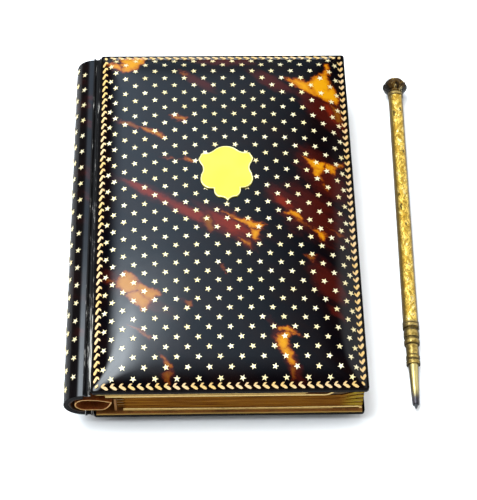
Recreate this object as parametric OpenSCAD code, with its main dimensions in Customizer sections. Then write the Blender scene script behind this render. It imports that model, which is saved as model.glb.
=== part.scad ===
// Aide memoire case in book form, with its propelling pencil.
//
// Two cushion-moulded tortoiseshell boards and a round spine make a small book.
// Gold stars are let into the boards and the spine, and a gold shield is left bare.
// Inside are leather linings, pockets, a sewn memo book and a sleeve for the pencil.
//
// Units are millimetres.  X runs from the spine to the fore-edge, Y from the tail
// to the head, and Z is up.  The case lies shut on its back cover, and the origin
// is the middle of the flat it rests on.

/* [Covers] */
// Width of each cover board, from the gutter to the fore-edge
board_w = 66; // [50:0.5:90]
// Height of each cover board, from tail to head
board_h = 102; // [80:0.5:140]
// Thickness of a board at its straight edge
board_edge = 1; // [0.9:0.05:2]
// Width of the plain rim around the cushion
rim_w = 0.5; // [0.4:0.05:1.5]
// Width of the curved margin of the cushion
cushion_run = 7.47; // [5:0.01:12]
// Slope of the cushion where it leaves the rim, in degrees
cushion_slope = 30; // [18:0.5:34]
// Slope left where the margin meets the crown, in degrees
crown_slope = 3.5; // [3:0.1:5]
// Radius of the board corners seen from above
corner_r = 0.8; // [0.3:0.1:2]
// Thickness of the moulded tortoiseshell shell
shell_wall = 0.7; // [0.5:0.05:0.8]
// Depth worn flat under the back cover, where the case rests
rest_flat = 0.15; // [0.05:0.01:0.3]
// Clear space between a shell and the pasteboard core in it
core_clear = 0.05; // [0.02:0.01:0.2]

/* [Inlay] */
// Distance between the stars of one row
star_pitch = 5.2; // [4:0.05:8]
// Distance between one row of stars and the next
star_row = 2.55; // [2:0.01:4]
// Width of a star across its points
star_d = 1.6; // [1:0.1:2.5]
// Thickness of the inlaid gold
inlay_t = 0.1; // [0.06:0.02:0.3]
// Seat gap between the gold and the shell
inlay_seat = 0.02; // [0.01:0.01:0.05]
// Distance from the board's edge to the nearest star
star_margin = 2.9; // [2.9:0.05:6]
// Distance the star rows are moved towards the head
star_shift = 0.35; // [-1:0.05:1]
// Distance the star columns are moved towards the fore-edge
star_side = 0.1; // [-1:0.05:1]
// Distance the star columns lean towards the fore-edge, from the middle to the tail
star_lean = 0.3; // [-1:0.05:1]
// Distance the star rows bow towards the head, in the middle of the cover
star_bow = 0.85; // [0:0.05:1.5]
// Distance from the board's edge to the middle of the gold border
border_in = 1.32; // [1.3:0.02:2]
// Distance between the leaf pairs of the border, along it
border_pitch = 2.06; // [2:0.02:3]
// Length and width of one leaf pair of the border
border_len = 1.76; // [1.2:0.02:1.8]
border_w = 1.6; // [1:0.02:1.64]
// Width of the gold shield across its ears
shield_w = 14.1; // [8:0.1:24]
// Height of the top of the shield above the middle of the cover
shield_top = 18.25; // [10:0.05:30]
// Turn of the shield, which was set by hand, in degrees
shield_turn = 1.3; // [-3:0.1:3]
// Thickness of the shield
shield_t = 0.3; // [0.1:0.05:0.6]

/* [Spine] */
// Distance between the two boards, taken up by the leaves and pockets
inside_gap = 11; // [10.5:0.5:16]
// Width of the leather gutter between a board and the spine
gutter_w = 2; // [1.5:0.1:3]
// How far the round of the spine stays inside the boards' inner faces
spine_drop = 0.6; // [0.3:0.05:1]
// Thickness of the spine shell
spine_wall = 1.1; // [0.8:0.1:1.5]
// Thickness of the leather lining in the spine
spine_lining_t = 0.6; // [0.4:0.1:0.8]
// Thickness of the leather in the gutters
gutter_t = 0.5; // [0.3:0.1:0.6]
// Clear space beside the leather of a gutter
gutter_clear = 0.06; // [0.03:0.01:0.2]

/* [Pencil sleeve] */
// Thickness of the leather of the pencil sleeve
sleeve_t = 0.45; // [0.3:0.05:0.8]
// Clear space around the pencil in its sleeve
sleeve_clear = 0.2; // [0.15:0.05:0.4]
// Clear space between the sleeve and the lining of the spine
sleeve_gap = 0.9; // [0.5:0.1:1.5]
// Straight part of the sleeve's roof, towards the leaves
sleeve_run = 3; // [2:0.1:5]
// Straight part of the sleeve's floor, towards the leaves
sleeve_floor = 4.4; // [4:0.1:6]
// Length of the stitched tip of the sleeve
sleeve_tip = 3.3; // [2:0.1:5]

/* [Linings and pockets] */
// Thickness of the leather linings
lining_t = 0.7; // [0.4:0.1:1]
// Margin of a lining inside the board's edge
lining_margin = 0.7; // [0.4:0.1:2]
// Thickness of a pocket leaf
leaf_t = 0.8; // [0.5:0.1:1.1]
// Depth of a pocket, which its welts keep open
pocket_slot = 0.5; // [0.4:0.05:0.8]
// Width of the welts at head and tail of a pocket
welt_w = 3; // [2:0.5:6]
// Distance from the board's gutter edge to the mouths of the inner and the outer pocket
inner_mouth = 1; // [0.9:0.1:8]
outer_mouth = 3.2; // [3:0.1:8]
// Distance from the fold of the leaves to the mouth of the back pocket
back_mouth = 1.2; // [0.8:0.1:8]
// Distance from the fore-edge of the board to the end of the inner front pocket
inner_pocket_margin = 13.6; // [10:0.1:24]
// Distance the outer front pocket reaches past the inner one
outer_pocket_step = 5.7; // [3:0.1:8]
// Margin of a pocket inside the board's head and tail edges
pocket_margin = 0.8; // [0.5:0.1:3]

/* [Memo book] */
// Thickness of the cloth strip at the back of the memo book
memo_strip_t = 0.6; // [0.4:0.1:1]
// Clear space between the pencil sleeve and the memo book
memo_clear = 0.4; // [0.3:0.05:1]
// Clear space between neighbouring sections
section_gap = 0.1; // [0.06:0.02:0.2]
// Thickness and length of the guard on which a section is sewn
guard_t = 0.4; // [0.3:0.05:0.6]
guard_len = 1.2; // [1.2:0.1:4]
// Margin of the leaves inside the boards at the fore-edge
leaf_margin = 0.8; // [0.5:0.1:2]
// Margin of the leaves inside the boards at head and tail
leaf_end_margin = 0.9; // [0.5:0.1:2]
// Thickness of the card of the memo book
card_t = 0.4; // [0.3:0.05:0.5]
// Clear space between the lifted leaves and the front lining
flare_clear = 0.4; // [0.3:0.05:1]

/* [Pencil] */
// Length of the pencil with its lead out
pencil_len = 100.7; // [90:0.1:120]
// Diameter of the engraved barrel
barrel_d = 3.9; // [3.5:0.1:4.2]
// Wall of the barrel
barrel_wall = 0.45; // [0.3:0.05:0.6]
// Diameter of the rings at the ends of the barrel
ring_d = 4.2; // [3.9:0.1:4.4]
// Width of the lobed finial
finial_w = 6.9; // [5:0.1:9]
// Height of the finial
finial_h = 4.4; // [3:0.1:9]
// Width of the finial's lobes, and the depth of the hollows between them
lobe_d = 2.4; // [2:0.1:3]
lobe_depth = 0.45; // [0.2:0.05:0.5]
// Length of the finial's stem in the barrel
stem_len = 8; // [5:0.5:14]
// Running clearance between the pencil's sliding and turning pieces
run_clear = 0.08; // [0.05:0.01:0.15]
// Diameter of the lead
lead_d = 1.1; // [0.7:0.1:1.3]
// Length of lead that stands out of the nose
lead_out = 1.1; // [0.5:0.1:4]
// Length of the nose cone
nose_len = 10.8; // [6:0.1:14]
// Length of the ringed grip behind the nose cone
grip_len = 10.1; // [8:0.1:14]
// Diameters of the nose cone at its point and at its root
nose_tip_d = 1.74; // [1.4:0.02:2]
nose_d = 2.6; // [2:0.02:3]
// Length and radial gap of the spigot that holds the nose cone in the grip
spigot_len = 2; // [1:0.1:4]
spigot_gap = 0.03; // [0.02:0.01:0.1]
// Diameters of the grip: its plain part, its small rings and its large rings
grip_d = 3.2; // [2.8:0.02:3.6]
grip_ring_d = 3.5; // [3:0.02:3.8]
grip_collar_d = 4; // [3.6:0.02:4.2]
// Depth of the grooves beside the rings
groove = 0.14; // [0.05:0.01:0.2]
// Diameter of the bore that leads the lead carrier
tube_bore_d = 1.9; // [1.8:0.02:2]
// Width of the slots for the carrier's pin, and the pin's diameter
slot_w = 0.8; // [0.6:0.05:0.9]
pin_d = 0.6; // [0.4:0.05:0.7]
// Length of the lead carrier, and the depth of the lead in it
carrier_len = 8; // [6:0.5:12]
lead_seat = 3; // [2:0.1:4]
// How far the lead may be drawn in and wound out
lead_in_travel = 2; // [1:0.5:4]
lead_out_travel = 8; // [4:0.5:12]
// Place of the pencil's point beside the case
pencil_x = 46; // [42:0.1:60]
pencil_y = -49.1; // [-70:0.1:0]
// Turn of the pencil away from the fore-edge, in degrees
pencil_yaw = 1.3; // [0:0.1:20]

/* [Hidden] */
$fn = 128;
half_w = board_w / 2;
half_h = board_h / 2;

// The cushion: a margin arc that leaves the rim at one slope and reaches another,
// then a crown arc that is level in the middle.
margin_r = cushion_run / (sin(cushion_slope) - sin(crown_slope));
margin_rise = margin_r * (cos(crown_slope) - cos(cushion_slope));
function crown_half(span) = span / 2 - rim_w - cushion_run;
function crown_r(span) = crown_half(span) / sin(crown_slope);
board_rise = margin_rise + crown_r(board_w) * (1 - cos(crown_slope));

// Levels, from the table up.
z_back = board_edge + board_rise - rest_flat;
z_front = z_back + inside_gap;
z_rim = z_front + board_edge;
z_mid = z_back + inside_gap / 2;

// The gutters and the spine.
x_hinge = -half_w - gutter_w / 2;
x_spine = -half_w - gutter_w;
spine_r = inside_gap / 2 - spine_drop;
spine_bore = spine_r - spine_wall;
gutter_r = gutter_w / 2 - gutter_clear;

// The sleeve takes the pencil's rings.
sleeve_in = ring_d / 2 + sleeve_clear;
sleeve_out = sleeve_in + sleeve_t;
x_sleeve = x_spine - (spine_bore - spine_lining_t) + sleeve_out + sleeve_gap;
x_sleeve_tip = x_sleeve + sleeve_run + sleeve_tip;

// Layers inside the covers.
z_front_lining = z_front - lining_t;
z_inner_pocket = z_front_lining - pocket_slot - leaf_t;
z_outer_pocket = z_inner_pocket - pocket_slot - leaf_t;
z_back_lining = z_back + lining_t;
z_back_pocket = z_back_lining + pocket_slot + leaf_t;
x_inner_mouth = -half_w + inner_mouth;
x_outer_mouth = -half_w + outer_mouth;
x_inner_end = half_w - inner_pocket_margin;
x_outer_end = x_inner_end + outer_pocket_step;
pocket_h = board_h - 2 * pocket_margin;

// The memo book fills what is left between the pockets.
section_pitch = (z_outer_pocket - z_back_pocket - 2 * section_gap) / 4;
section_t = section_pitch - section_gap;
x_strip = x_sleeve_tip + memo_clear;
x_fold = x_strip + memo_strip_t + section_gap + guard_t / 2;
x_leaf = x_fold + guard_len;
x_back_mouth = x_fold + back_mouth;
x_leaf_end = half_w - leaf_margin;
leaf_h = board_h - 2 * leaf_end_margin;
x_flare = x_outer_end + 0.7;
flare_max = z_front_lining - flare_clear - (z_outer_pocket - section_gap);
function z_section(k) = z_back_pocket + section_gap + (4.5 - k) * section_pitch;
function flare(k) = flare_max * (4 - k) / 3;

// The pencil rests on a lobe of its finial and on the ring of its barrel.
barrel_r = barrel_d / 2;
bore_r = barrel_r - barrel_wall;
s_nose = lead_out;
s_grip = s_nose + nose_len;
s_barrel = s_grip + grip_len + run_clear;
s_neck = pencil_len - finial_h;
s_girdle = s_neck + finial_h * 0.5;
ring_h = 1.7;
s_ring = s_barrel + ring_h / 2;
pencil_tilt = asin((finial_w - ring_d) / 2 / (s_girdle - s_ring));
pencil_z = ring_d / 2 - s_ring * sin(pencil_tilt) + 0.02;
tube_r = bore_r - run_clear;
tube_in = tube_bore_d / 2;
s_pin = s_barrel + lead_out_travel + carrier_len / 2 + 1;
tube_end = s_pin + lead_in_travel + carrier_len / 2 + 1;

// Half the outline of a board's cross-section, for a board of the given width.
module half_cushion(span, edge, foot) {
  a = span / 2 - rim_w;
  b = crown_half(span);
  cx = a - margin_r * sin(cushion_slope);
  cz = edge - margin_r * cos(cushion_slope);
  translate([0, -foot]) square([span / 2, edge + foot]);
  intersection() {
    translate([cx, cz]) circle(margin_r);
    translate([b, 0]) square([a - b, edge + board_rise + 1]);
  }
  intersection() {
    translate([0, edge + margin_rise - crown_r(span) * cos(crown_slope)])
      circle(crown_r(span), $fn = 256);
    square([b, edge + board_rise + 2]);
  }
}

module cushion_profile(span, edge, foot) {
  half_cushion(span, edge, foot);
  mirror([1, 0]) half_cushion(span, edge, foot);
}

module rounded(w, h, r) {
  square([w - 2 * r, h], center = true);
  square([w, h - 2 * r], center = true);
  for (sx = [-1, 1], sy = [-1, 1]) translate([sx * (w / 2 - r), sy * (h / 2 - r)]) circle(r, $fn = 32);
}

// A cushion: the two cross-sections carried along each other's length and crossed,
// which leaves the mitre lines that run in from the corners.
module cushion(w, h, edge, r, foot = 0) {
  intersection() {
    rotate([90, 0, 0]) translate([0, 0, -h / 2]) linear_extrude(h) cushion_profile(w, edge, foot);
    rotate([90, 0, 90]) translate([0, 0, -w / 2]) linear_extrude(w) cushion_profile(h, edge, foot);
    translate([0, 0, -foot]) linear_extrude(foot + edge + board_rise + 1) rounded(w, h, r);
  }
}

// A board's hollow shell, with its inner face at zero and the cushion upwards.
module shell() {
  difference() {
    cushion(board_w, board_h, board_edge, corner_r);
    cushion(board_w - 2 * shell_wall, board_h - 2 * shell_wall, board_edge - shell_wall, 0.3, 1);
  }
}

// The pasteboard that fills a shell, level with its inner face.
module core() {
  d = shell_wall + core_clear;
  cushion(board_w - 2 * d, board_h - 2 * d, board_edge - d, 0.25);
}

// Height of the cushion above the rim, and its slope, at a distance from the middle.
function curve(t, span) =
  let (a = span / 2 - rim_w, b = crown_half(span))
  t > a ? 0
  : t > b ? sqrt(pow(margin_r, 2) - pow(t - a + margin_r * sin(cushion_slope), 2))
            - margin_r * cos(cushion_slope)
  : margin_rise + sqrt(pow(crown_r(span), 2) - t * t) - crown_r(span) * cos(crown_slope);
function tilt(t, span) =
  let (a = span / 2 - rim_w, b = crown_half(span))
  t > b ? asin((t - a + margin_r * sin(cushion_slope)) / margin_r) : asin(t / crown_r(span));

// Puts a flat piece on the cushion of a board whose rim is at zero.
module on_cushion(x, y) {
  zx = curve(abs(x), board_w);
  zy = curve(abs(y), board_h);
  turn = zx < zy ? [0, sign(x) * tilt(abs(x), board_w), 0] : [-sign(y) * tilt(abs(y), board_h), 0, 0];
  translate([x, y, min(zx, zy)]) rotate(turn) translate([0, 0, inlay_seat]) children();
}

module star() {
  r = star_d / 2 / cos(18);
  polygon([for (i = [0:9]) (i % 2 == 0 ? r : r * 0.41) * [cos(90 + i * 36), sin(90 + i * 36)]]);
}

// The stars were laid by hand, so each one is turned its own way.
function star_turn(i, j) = (i * 37 + j * 53 + i * j * 11) % 72;

// One leaf pair of the border, joined at its foot: a slim leaf towards the middle
// of the board and a broad one towards its edge.
module leaf_pair() {
  scale([border_len / 1.76, border_w / 1.7]) translate([-0.88, 0]) polygon([
    [0, 0.04], [0.2, 0.45], [0.44, 0.74], [0.72, 0.85], [1.08, 0.8], [0.8, 0.46], [0.62, 0.16],
    [1, 0.12], [1.4, -0.14], [1.76, -0.6], [1.5, -0.85], [1.06, -0.79], [0.6, -0.5], [0.2, -0.2]
  ]);
}

module corner_leaf() {
  a = border_len * 0.34;
  b = border_w * 0.2;
  polygon([[-a, 0], [-a * 0.4, -b], [a * 0.5, -b], [a, 0], [a * 0.4, b], [-a * 0.5, b]]);
}

// The chain of leaf pairs runs around the board, with a leaf across each corner.
module border() {
  for (side = [0:3]) {
    run = (side % 2 == 0 ? board_w : board_h) - 2 * border_in - border_w - 0.2;
    n = floor(run / border_pitch);
    out = (side % 2 == 0 ? half_h : half_w) - border_in;
    for (k = [0:n - 1]) {
      s = (k - (n - 1) / 2) * run / n;
      x = [s, out, -s, -out][side];
      y = [-out, s, out, -s][side];
      on_cushion(x, y) linear_extrude(inlay_t) rotate(90 * side) leaf_pair();
    }
  }
  for (sx = [-1, 1], sy = [-1, 1]) {
    on_cushion(sx * (half_w - border_in - 0.12), sy * (half_h - border_in - 0.13))
      linear_extrude(inlay_t) rotate(sx * sy * 45) corner_leaf();
  }
}

function arc(c, r, a0, a1, n) = [for (i = [0:n]) let (a = a0 + (a1 - a0) * i / n) c + r * [cos(a), sin(a)]];

// The shield's outline, top to point and back, for a shield fourteen wide: a round top,
// a pointed ear, a waist, a round lobe, a step and an ogee on each side.
shield_half = concat(
  arc([0, -4.1], 4.1, 84, 46, 7),
  arc([5.63, 1.73], 4, 232, 278, 6),
  [[7.05, -4]],
  arc([8.9, -7], 2.95, 141, 214, 9),
  arc([3.65, -10.2], 3.05, 20, -75, 10),
  [[3.3, -13.15]],
  arc([0.88, -13.75], 2.5, 2, -52, 5),
  arc([2.05, -18.3], 2.5, 98, 143, 5)
);
shield_outline = concat(
  [[0, 0]], shield_half, [[0, -17.15]],
  [for (i = [len(shield_half) - 1:-1:0]) [-shield_half[i][0], shield_half[i][1]]]
);

module shield_shape() rotate(shield_turn) scale([shield_w / 14.1, shield_w / 14.1]) polygon(shield_outline);

// Whether a star at this place would touch the shield, or lie under it.
function near_shield(x, y) =
  abs(x) < shield_w / 2 + 0.4 && y < shield_top - 0.4 && y > shield_top - shield_w * 1.25;
function under_shield(x, y) =
  let (d = shield_top - y)
  abs(x) < shield_w * (d < 2.3 ? 0.24 : d < 12.4 ? 0.42 : 0.24)
  && d > 0.8 && d < shield_w * 1.15;

// The star rows bow towards the head, but the stars under the shield's lobes and its point
// were set clear of it.
function bow(x, y) =
  abs(x) < shield_w / 2 && y < shield_top - shield_w * 0.8
  && y > shield_top - shield_w * (abs(x) < star_pitch / 4 ? 1.32 : 1) ? 0
  : star_bow * (1 - pow(x / half_w, 2)) * (1 - pow(y / half_h, 2));

// Places along one direction: even steps, with the last one drawn in to the margin.
function place(i, step, half, shift = 0) =
  let (p = i * step + shift) sign(p) * min(abs(p), half - star_margin);

module star_field() {
  cols = floor((half_w - star_margin) / star_pitch * 2 + 0.5);
  rows = floor((half_h - star_margin) / star_row + 0.4);
  for (i = [-cols:cols], j = [-rows:rows]) {
    x = place(i, star_pitch / 2, half_w, star_side - star_lean * j * star_row / half_h);
    y = place(j, star_row, half_h, star_shift + bow(i * star_pitch / 2, j * star_row + star_shift));
    if ((i + j) % 2 == 0 && !under_shield(x, y)) {
      if (near_shield(x, y)) {
        difference() {
          on_cushion(x, y) linear_extrude(inlay_t) rotate(star_turn(i, j)) star();
          translate([0, shield_top, 0]) linear_extrude(board_rise + 1) scale(1.02) shield_shape();
        }
      } else {
        on_cushion(x, y) linear_extrude(inlay_t) rotate(star_turn(i, j)) star();
      }
    }
  }
}

module back_board() color("#2b1a12") intersection() {
  translate([0, 0, z_back]) rotate([180, 0, 0]) shell();
  translate([-board_w, -board_h, 0]) cube([2 * board_w, 2 * board_h, z_back + 1]);
}

module back_core() color("#8d7a5c") translate([0, 0, z_back]) rotate([180, 0, 0]) core();

module back_lining() color("#7a3f22") translate([-half_w + lining_margin, -half_h + lining_margin, z_back])
  cube([board_w - 2 * lining_margin, board_h - 2 * lining_margin, lining_t]);

// The back pocket opens towards the spine and holds the card of the memo book.
module back_pocket() color("#8a4a28") translate([x_back_mouth, -pocket_h / 2, z_back_lining + pocket_slot])
  cube([x_outer_end - x_back_mouth, pocket_h, leaf_t]);

module back_pocket_welts() color("#6b351c") translate([x_back_mouth, 0, z_back_lining]) {
  w = x_outer_end - x_back_mouth;
  for (s = [-1, 1]) translate([0, s * (pocket_h - welt_w) / 2 - welt_w / 2, 0])
    cube([w - welt_w - 0.1, welt_w, pocket_slot]);
  translate([w - welt_w, -pocket_h / 2, 0]) cube([welt_w, pocket_h, pocket_slot]);
}

module memo_card() color("#c9b78d") {
  x0 = x_strip + memo_strip_t;
  h = pocket_h - 2 * welt_w - 0.6;
  translate([x0, -h / 2, z_back_lining]) cube([x_outer_end - welt_w - 0.4 - x0, h, card_t]);
}

module memo_strip() color("#5a3a24") translate([x_strip, -leaf_h / 2, z_back_lining])
  cube([memo_strip_t, leaf_h, z_section(1) - z_back_lining]);

// One sewn section: a thin guard with a round fold, and leaves whose fore-edge is lifted.
module section(k) {
  n = 8;
  run = x_leaf_end - x_flare;
  path = [for (i = [0:n]) let (u = i / n) [x_flare + run * u, flare(k) * u * u * (3 - 2 * u)]];
  translate([0, leaf_h / 2, z_section(k)]) rotate([90, 0, 0]) linear_extrude(leaf_h) {
    translate([x_fold, 0]) circle(guard_t / 2, $fn = 48);
    translate([x_fold, -guard_t / 2]) square([guard_len, guard_t]);
    polygon(concat(
      [[x_leaf, -section_t / 2]],
      [for (p = path) p - [0, section_t / 2]],
      [for (i = [n:-1:0]) path[i] + [0, section_t / 2]],
      [[x_leaf, section_t / 2]]
    ));
  }
}

module memo_section_1() color("#e6d9b4") section(1);
module memo_section_2() color("#e0d2aa") section(2);
module memo_section_3() color("#dacba0") section(3);
module memo_section_4() color("#d4c496") section(4);

// Carries a cross-section seen from the tail along the height of the case.
module along_y(h) { translate([0, h / 2, 0]) rotate([90, 0, 0]) linear_extrude(h) children(); }

module half_ring(x, z, r_out, r_in) {
  along_y(board_h) translate([x, z]) difference() {
    circle(r_out);
    circle(r_in);
    translate([0, -r_out - 1]) square([r_out + 1, 2 * r_out + 2]);
  }
}

module spine_shell() color("#24150f") half_ring(x_spine, z_mid, spine_r, spine_bore);

module spine_lining() color("#7a3f22")
  half_ring(x_spine, z_mid, spine_bore - core_clear, spine_bore - spine_lining_t);

module spine_stars() color("#e8cf86") {
  step = star_pitch / 2 / spine_r * 180 / PI;
  rows = floor((half_h - star_d) / star_row);
  for (i = [-2:2], j = [-rows:rows]) if ((i + j) % 2 == 0) {
    translate([x_spine, j * star_row + star_shift, z_mid]) rotate([0, -90 + i * step, 0])
      translate([0, 0, spine_r + inlay_seat]) linear_extrude(inlay_t) rotate(star_turn(i, j)) star();
  }
}

// A rod of the sleeve's shape: a round back and a tip that slants up to its stitching.
module sleeve_rod(r, inset, h) {
  translate([x_sleeve, h / 2, z_mid]) rotate([90, 0, 0]) cylinder(h = h, r = r);
  along_y(h) translate([x_sleeve, z_mid])
    polygon([[0, r], [sleeve_run - 0.4 * inset, r], [sleeve_run + sleeve_tip - 2.6 * inset, r * 0.42],
             [sleeve_floor - 1.4 * inset, -r], [0, -r]]);
}

module pencil_sleeve() color("#8a3f22") difference() {
  sleeve_rod(sleeve_out, 0, board_h);
  sleeve_rod(sleeve_in, sleeve_t, board_h + 2);
}

// The leather of a gutter, a trough around the hinge line.
module gutter(z, up) {
  along_y(board_h) translate([x_hinge, z]) difference() {
    circle(gutter_r);
    circle(gutter_r - gutter_t);
    translate([-2 * gutter_r, up > 0 ? 0 : -4 * gutter_r]) square(4 * gutter_r);
  }
}

module front_joint() color("#1d1512") gutter(z_front, 1);
module back_joint() color("#1d1512") gutter(z_back, -1);

module front_board() color("#2b1a12") translate([0, 0, z_front]) shell();
module front_core() color("#8d7a5c") translate([0, 0, z_front]) core();

module front_shield() color("#f0d24a") translate([0, shield_top, z_rim + board_rise + inlay_seat])
  linear_extrude(shield_t) shield_shape();

module front_stars() color("#f3e3b0") translate([0, 0, z_rim]) star_field();
module front_border() color("#d9b45c") translate([0, 0, z_rim]) border();

module front_lining() color("#7a3f22")
  translate([-half_w + lining_margin, -half_h + lining_margin, z_front_lining])
    cube([board_w - 2 * lining_margin, board_h - 2 * lining_margin, lining_t]);

// A pocket leaf whose fore-edge is turned up to the leather above it.
module turned_leaf(x_start, x_end, z_low, z_top) {
  r = z_top - z_low;
  along_y(pocket_h) {
    difference() {
      union() {
        translate([x_start, z_low]) square([x_end - r - x_start, r]);
        intersection() {
          translate([x_end - r, z_top]) circle(r);
          translate([x_end - r, z_low - 1]) square([r + 1, r + 1]);
        }
      }
      translate([x_start - 1, z_low + leaf_t]) square([x_end - r - x_start + 1, r]);
    }
  }
}

module front_pocket_inner() color("#8a4a28")
  turned_leaf(x_inner_mouth, x_inner_end, z_inner_pocket, z_front_lining);

// The outer leaf laps the inner one, and its edge turns up past it to the lining.
module front_pocket_outer() color("#95532d") along_y(pocket_h) {
  r = z_front_lining - z_outer_pocket;
  difference() {
    union() {
      translate([x_outer_mouth, z_outer_pocket]) square([x_outer_end - r - x_outer_mouth, leaf_t]);
      intersection() {
        translate([x_outer_end - r, z_front_lining]) circle(r);
        translate([x_outer_end - r, z_outer_pocket - 1]) square([r + 1, r + 1]);
      }
    }
    translate([x_outer_end - r - 1, z_outer_pocket + leaf_t]) square([1.6, r]);
  }
}

module front_pocket_welts() color("#6b351c") for (s = [-1, 1]) {
  y = s * (pocket_h - welt_w) / 2 - welt_w / 2;
  r = z_front_lining - z_inner_pocket;
  translate([x_inner_mouth, y, z_front_lining - pocket_slot])
    cube([x_inner_end - r - x_inner_mouth - 0.1, welt_w, pocket_slot]);
  translate([x_outer_mouth, y, z_inner_pocket - pocket_slot])
    cube([x_inner_end - r - x_outer_mouth - 0.1, welt_w, pocket_slot]);
}

// Places a piece on the pencil's axis, with its point at zero and its head upwards.
module on_pencil() {
  translate([pencil_x, pencil_y, pencil_z]) rotate([0, 0, -pencil_yaw]) rotate([pencil_tilt - 90, 0, 0])
    children();
}

module tube(s0, s1, r_out, r_in) {
  translate([0, 0, s0]) difference() {
    cylinder(h = s1 - s0, r = r_out);
    translate([0, 0, -1]) cylinder(h = s1 - s0 + 2, r = r_in);
  }
}

module pencil_barrel() color("#b8862f") on_pencil() tube(s_barrel, s_neck - 0.05, barrel_r, bore_r);

module barrel_rings() color("#caa045") on_pencil() {
  tube(s_barrel, s_barrel + ring_h, ring_d / 2, barrel_r + 0.03);
  tube(s_neck - 1.2, s_neck - 0.05, ring_d / 2, barrel_r + 0.03);
}

// The finial is a button of eight lobes on a stem that plugs the barrel: a turned form
// with a neck, a girdle and a low dome, scalloped from end to end.
module pencil_finial() color("#a4741f") on_pencil() {
  r = finial_w / 2;
  n = ring_d / 2;
  h = finial_h;
  translate([0, 0, s_neck - stem_len]) cylinder(h = stem_len + 1, r = bore_r - run_clear);
  translate([0, 0, s_neck]) intersection() {
    rotate_extrude() polygon([
      [0, 0], [n, 0], [n + 0.15, 0.05 * h], [n, 0.12 * h], [n - 0.1, 0.16 * h], [n + 0.3, 0.22 * h],
      [r - 0.15, 0.42 * h], [r, 0.5 * h], [r - 0.1, 0.6 * h], [r * 0.82, 0.68 * h],
      [r * 0.8, 0.8 * h], [r * 0.68, 0.93 * h], [r * 0.4, h], [0, h]
    ]);
    union() {
      translate([0, 0, -1]) cylinder(h = h + 2, r = r - lobe_depth);
      for (i = [0:7]) rotate(45 * i) translate([r - lobe_d / 2, 0, -1]) cylinder(h = h + 2, d = lobe_d);
    }
  }
}

// The grip turns in the barrel: its slotted tube leads the pin of the lead carrier.
module pencil_grip() color("#c79a3c") on_pencil() difference() {
  g = grip_len / 10;
  a = grip_d / 2;
  b = grip_ring_d / 2;
  c = grip_collar_d / 2;
  translate([0, 0, s_grip]) rotate_extrude() polygon([
    [tube_in, 0], [b, 0], [b + groove / 3, 0.4 * g], [b, 0.9 * g],
    [a - groove / 2, g], [a - groove / 2, 1.5 * g], [b, 1.6 * g], [b, 2.3 * g], [a, 2.4 * g], [a, 5.4 * g],
    [c - groove / 2, 5.5 * g], [c, 6.1 * g], [c - groove / 2, 6.7 * g],
    [c - 2 * groove, 6.8 * g], [c - 2 * groove, 7.4 * g],
    [c - groove / 3, 7.5 * g], [c, 8.3 * g], [c - groove / 3, 9.1 * g],
    [c - 2 * groove, 9.2 * g], [c - 2 * groove, grip_len],
    [tube_r, grip_len], [tube_r, tube_end - s_grip], [tube_in, tube_end - s_grip]
  ]);
  translate([-slot_w / 2, -barrel_d, s_pin - lead_out_travel - pin_d - slot_w])
    cube([slot_w, 2 * barrel_d, lead_out_travel + lead_in_travel + 2 * (pin_d + slot_w)]);
}

module nose_cone() color("#d8b25a") on_pencil() translate([0, 0, s_nose]) rotate_extrude() polygon([
  [lead_d / 2 + run_clear, 0], [nose_tip_d / 2, 0], [nose_tip_d / 2 + 0.05, 0.4],
  [nose_d / 2, nose_len - spigot_gap], [tube_in - spigot_gap, nose_len - spigot_gap],
  [tube_in - spigot_gap, nose_len + spigot_len], [lead_d / 2 + run_clear, nose_len + spigot_len]
]);

module lead_carrier() color("#8f959b") on_pencil() {
  difference() {
    translate([0, 0, s_pin - carrier_len / 2]) cylinder(h = carrier_len, r = tube_in - run_clear);
    translate([0, 0, s_pin - carrier_len / 2 - 1]) cylinder(h = lead_seat + 1, r = lead_d / 2 + spigot_gap);
  }
  translate([0, 0, s_pin]) rotate([90, 0, 0])
    cylinder(h = 2 * tube_r - 0.1, r = pin_d / 2, center = true, $fn = 48);
}

module pencil_lead() color("#3b3d40") on_pencil() {
  point = lead_d * 0.8;
  cylinder(h = point, r1 = lead_d * 0.18, r2 = lead_d / 2);
  translate([0, 0, point])
    cylinder(h = s_pin - carrier_len / 2 + lead_seat - 0.05 - point, r = lead_d / 2);
}

back_board();
back_core();
back_lining();
back_pocket();
back_pocket_welts();
memo_card();
memo_strip();
memo_section_4();
spine_shell();
spine_lining();
spine_stars();
pencil_sleeve();
front_joint();
back_joint();
front_board();
front_core();
front_shield();
front_stars();
front_border();
front_lining();
front_pocket_inner();
front_pocket_outer();
front_pocket_welts();
memo_section_1();
memo_section_2();
memo_section_3();
pencil_barrel();
barrel_rings();
pencil_finial();
pencil_grip();
nose_cone();
lead_carrier();
pencil_lead();
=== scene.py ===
# %% [markdown]
# # A star-inlaid tortoiseshell notebook case and its pencil
# The solids of the case come from a CAD model, and this script dresses them: it loads
# them as a fixed frame, gives each one a finish made of shader nodes, and replaces the soft
# pieces (the leaves, the leather sheets and the leather joints) by meshes of their own.
# Blender works in metres. Sizes are written in millimetres, as a binder would give them, and
# `mm` turns them into metres. The frame is the CAD's own: +Z is up, the tail of the case
# points to -Y and the spine lies at -X.

import bpy
import bmesh
import math
import random
from mathutils import Matrix, Vector


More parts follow.
